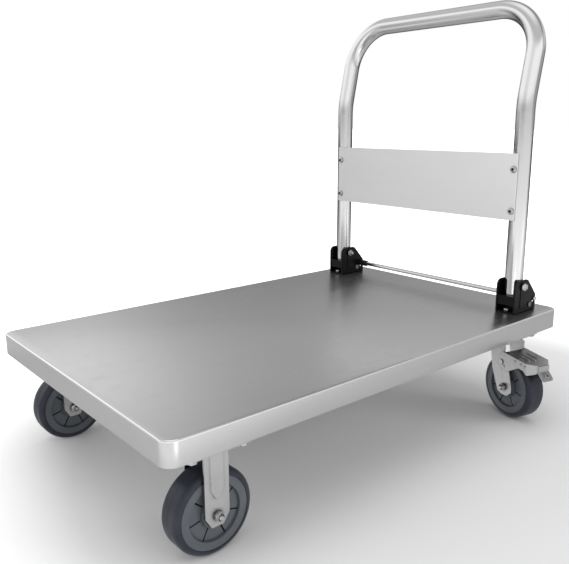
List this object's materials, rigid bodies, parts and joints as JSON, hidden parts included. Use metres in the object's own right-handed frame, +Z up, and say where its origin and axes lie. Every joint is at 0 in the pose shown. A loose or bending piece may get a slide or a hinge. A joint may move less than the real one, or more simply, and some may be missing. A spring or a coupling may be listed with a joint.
{
  "type": "flatbed platform truck",
  "caption": "Flatbed platform truck with a folding tube handle, a rear foot release rod, rigid casters in front and braked swivel casters behind.",
  "frame": {"origin": "on the floor under the centre of the deck", "axes": "+X forward, away from the handle; +Y to the left; +Z up"},
  "size_m": [0.9, 0.6906, 0.798],
  "materials": {
    "deck_steel": "satin stainless sheet",
    "handle_steel": "polished stainless tube",
    "panel_steel": "satin stainless sheet",
    "zinc_sheet": "bright zinc plated pressing",
    "zinc_hardware": "zinc plated",
    "bearing_steel": "ground steel",
    "dark_hardware": "dull steel",
    "black_powder_coat": "satin black powder coat",
    "black_plastic": "matt",
    "tread": "matt moulded",
    "hub_plastic": "satin moulded",
    "shoe_rubber": "matt"
  },
  "bodies": {
    "deck": {"deck_tray": "deck_steel", "front_cross_channel": "zinc_sheet", "rear_cross_channel": "zinc_sheet", "side_stiffeners": "zinc_sheet", "rigid_top_plates": "zinc_sheet", "front_left_fork": "zinc_sheet", "front_right_fork": "zinc_sheet", "front_axle_bolts": "zinc_hardware", "front_axle_nuts": "zinc_hardware", "front_axle_sleeves": "zinc_hardware", "caster_bolts": "zinc_hardware", "caster_nuts": "zinc_hardware", "left_hinge_bracket": "black_powder_coat", "right_hinge_bracket": "black_powder_coat", "bracket_bolts": "zinc_hardware", "bracket_nuts": "zinc_hardware", "pivot_bolts": "zinc_hardware", "pivot_nuts": "zinc_hardware", "stop_bars": "black_powder_coat", "latch_pins": "dark_hardware", "latch_springs": "dark_hardware", "swivel_top_plates": "zinc_sheet", "kingpins": "zinc_hardware"},
    "handle": {"handle_tube": "handle_steel", "back_panel": "panel_steel", "panel_screws": "dark_hardware", "pivot_sleeves": "zinc_hardware"},
    "release_latch": {"release_rod": "handle_steel", "latch_hooks": "black_powder_coat", "rod_collars": "black_plastic"},
    "front_left_wheel": {"front_left_tyre": "tread", "front_left_hub": "hub_plastic", "front_left_bearings": "bearing_steel"},
    "front_right_wheel": {"front_right_tyre": "tread", "front_right_hub": "hub_plastic", "front_right_bearings": "bearing_steel"},
    "rear_left_wheel": {"rear_left_tyre": "tread", "rear_left_hub": "hub_plastic", "rear_left_bearings": "bearing_steel"},
    "rear_right_wheel": {"rear_right_tyre": "tread", "rear_right_hub": "hub_plastic", "rear_right_bearings": "bearing_steel"},
    "rear_left_swivel": {"rear_left_fork": "zinc_sheet", "rear_left_race": "zinc_sheet", "rear_left_axle_fasteners": "zinc_hardware", "rear_left_axle_sleeve": "zinc_hardware", "rear_left_brake_pins": "zinc_hardware"},
    "rear_left_brake": {"rear_left_brake_pedal": "zinc_sheet", "rear_left_pedal_tab": "zinc_sheet", "rear_left_brake_shoe": "shoe_rubber"},
    "rear_right_swivel": {"rear_right_fork": "zinc_sheet", "rear_right_race": "zinc_sheet", "rear_right_axle_fasteners": "zinc_hardware", "rear_right_axle_sleeve": "zinc_hardware", "rear_right_brake_pins": "zinc_hardware"},
    "rear_right_brake": {"rear_right_brake_pedal": "zinc_sheet", "rear_right_pedal_tab": "zinc_sheet", "rear_right_brake_shoe": "shoe_rubber"}
  },
  "joints": [
    {"name": "handle_fold", "type": "hinge", "parent": "deck", "child": "handle", "pos_m": [-0.363, 0, 0.2585], "axis": [0, 1, 0], "range_deg": [0, 90]},
    {"name": "latch_release", "type": "hinge", "parent": "deck", "child": "release_latch", "pos_m": [-0.388, 0, 0.2195], "axis": [0, 1, 0], "range_deg": [-18, 0], "stiffness_Nm_per_rad": 1, "springref_deg": 17.19},
    {"name": "front_left_wheel_spin", "type": "hinge", "parent": "deck", "child": "front_left_wheel", "pos_m": [0.359, 0.23, 0.0625], "axis": [0, 1, 0], "continuous": true},
    {"name": "front_right_wheel_spin", "type": "hinge", "parent": "deck", "child": "front_right_wheel", "pos_m": [0.359, -0.23, 0.0625], "axis": [0, 1, 0], "continuous": true},
    {"name": "rear_left_swivel_turn", "type": "hinge", "parent": "deck", "child": "rear_left_swivel", "pos_m": [-0.355, 0.23, 0.155], "axis": [0, 0, 1], "continuous": true},
    {"name": "rear_left_wheel_spin", "type": "hinge", "parent": "rear_left_swivel", "child": "rear_left_wheel", "pos_m": [-0.34724, 0.25898, 0.0625], "axis": [-0.9659, 0.2588, 0], "continuous": true},
    {"name": "rear_left_brake_press", "type": "hinge", "parent": "rear_left_swivel", "child": "rear_left_brake", "pos_m": [-0.34931, 0.25125, 0.112], "axis": [-0.9659, 0.2588, 0], "range_deg": [0, 12]},
    {"name": "rear_right_swivel_turn", "type": "hinge", "parent": "deck", "child": "rear_right_swivel", "pos_m": [-0.355, -0.23, 0.155], "axis": [0, 0, 1], "continuous": true},
    {"name": "rear_right_wheel_spin", "type": "hinge", "parent": "rear_right_swivel", "child": "rear_right_wheel", "pos_m": [-0.34724, -0.25898, 0.0625], "axis": [0.9659, 0.2588, 0], "continuous": true},
    {"name": "rear_right_brake_press", "type": "hinge", "parent": "rear_right_swivel", "child": "rear_right_brake", "pos_m": [-0.34931, -0.25125, 0.112], "axis": [0.9659, 0.2588, 0], "range_deg": [0, 12]}
  ]
}
